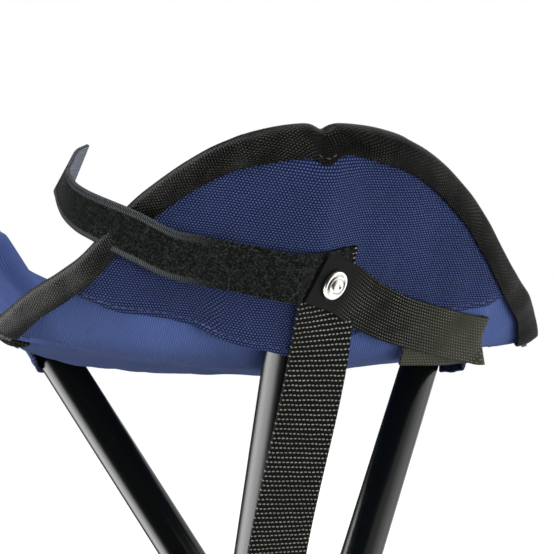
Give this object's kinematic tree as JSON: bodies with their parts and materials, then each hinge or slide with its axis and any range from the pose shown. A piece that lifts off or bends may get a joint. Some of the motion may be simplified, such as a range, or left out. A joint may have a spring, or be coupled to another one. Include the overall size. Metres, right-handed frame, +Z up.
{
  "type": "folding stool",
  "caption": "Folding stool: crossed steel tube legs on a central pivot, a slack cloth seat with raised tape-bound corners over the leg tips, and straps riveted to one leg.",
  "frame": {"origin": "on the floor, under the middle of the bounding box", "axes": "+Z up; -Y is the side with the straps, towards which the leg that carries them leans at its upper end; +X is to the right as seen from there"},
  "size_m": [0.2936, 0.2948, 0.4389],
  "materials": {
    "black_enamel": "gloss black enamel on steel tube",
    "black_plastic": "moulded black plastic",
    "foot_rubber": "moulded black rubber",
    "plated_steel": "zinc plated",
    "nickel": "bright nickel plate",
    "seat_cloth": "coated plain-weave polyester, lighter blue side",
    "pocket_cloth": "coarse plain-weave polyester, navy",
    "binding": "black woven binding tape",
    "webbing": "black polypropylene webbing with a dotted weave",
    "closing_webbing": "black hook-and-loop strap with woven selvedges"
  },
  "bodies": {
    "hub": {"hub_arms": "plated_steel"},
    "leg_a": {"leg_tube_a": "black_enamel", "pivot_sleeve_a": "black_plastic", "leg_washer_a": "plated_steel", "cap_nut_a": "plated_steel", "tip_cap_a": "black_plastic", "foot_a": "foot_rubber", "carry_strap": "webbing", "loop_strap": "closing_webbing", "hook_strap": "closing_webbing", "strap_washer": "nickel", "strap_rivet": "nickel", "lower_washer": "nickel", "lower_rivet": "nickel", "seat_sector_a": "seat_cloth", "pocket_a": "pocket_cloth", "binding_tape_a": "binding"},
    "leg_b": {"leg_tube_b": "black_enamel", "pivot_sleeve_b": "black_plastic", "leg_washer_b": "plated_steel", "cap_nut_b": "plated_steel", "tip_cap_b": "black_plastic", "foot_b": "foot_rubber", "seat_sector_b": "seat_cloth", "pocket_b": "pocket_cloth", "binding_tape_b": "binding"},
    "leg_c": {"leg_tube_c": "black_enamel", "pivot_sleeve_c": "black_plastic", "leg_washer_c": "plated_steel", "cap_nut_c": "plated_steel", "tip_cap_c": "black_plastic", "foot_c": "foot_rubber", "seat_sector_c": "seat_cloth", "pocket_c": "pocket_cloth", "binding_tape_c": "binding"}
  },
  "joints": [
    {"name": "leg_a_fold", "type": "hinge", "parent": "hub", "child": "leg_a", "pos_m": [-0.02485, 0.00809, 0.1942], "axis": [-1, 0, 0], "range_deg": [0, 32], "deforming": ["seat_sector_a", "pocket_a", "binding_tape_a", "loop_strap", "hook_strap"]},
    {"name": "leg_b_fold", "type": "hinge", "parent": "hub", "child": "leg_b", "pos_m": [0.00605, 0.02593, 0.1942], "axis": [0.5, 0.866, 0], "range_deg": [0, 32], "deforming": ["seat_sector_b", "pocket_b", "binding_tape_b"]},
    {"name": "leg_c_fold", "type": "hinge", "parent": "hub", "child": "leg_c", "pos_m": [0.00605, -0.00975, 0.1942], "axis": [0.5, -0.866, 0], "range_deg": [0, 32], "deforming": ["seat_sector_c", "pocket_c", "binding_tape_c"]}
  ],
  "couplings": [
    {"joint": "leg_b_fold", "follows": "leg_a_fold", "ratio": 1},
    {"joint": "leg_c_fold", "follows": "leg_a_fold", "ratio": 1}
  ]
}
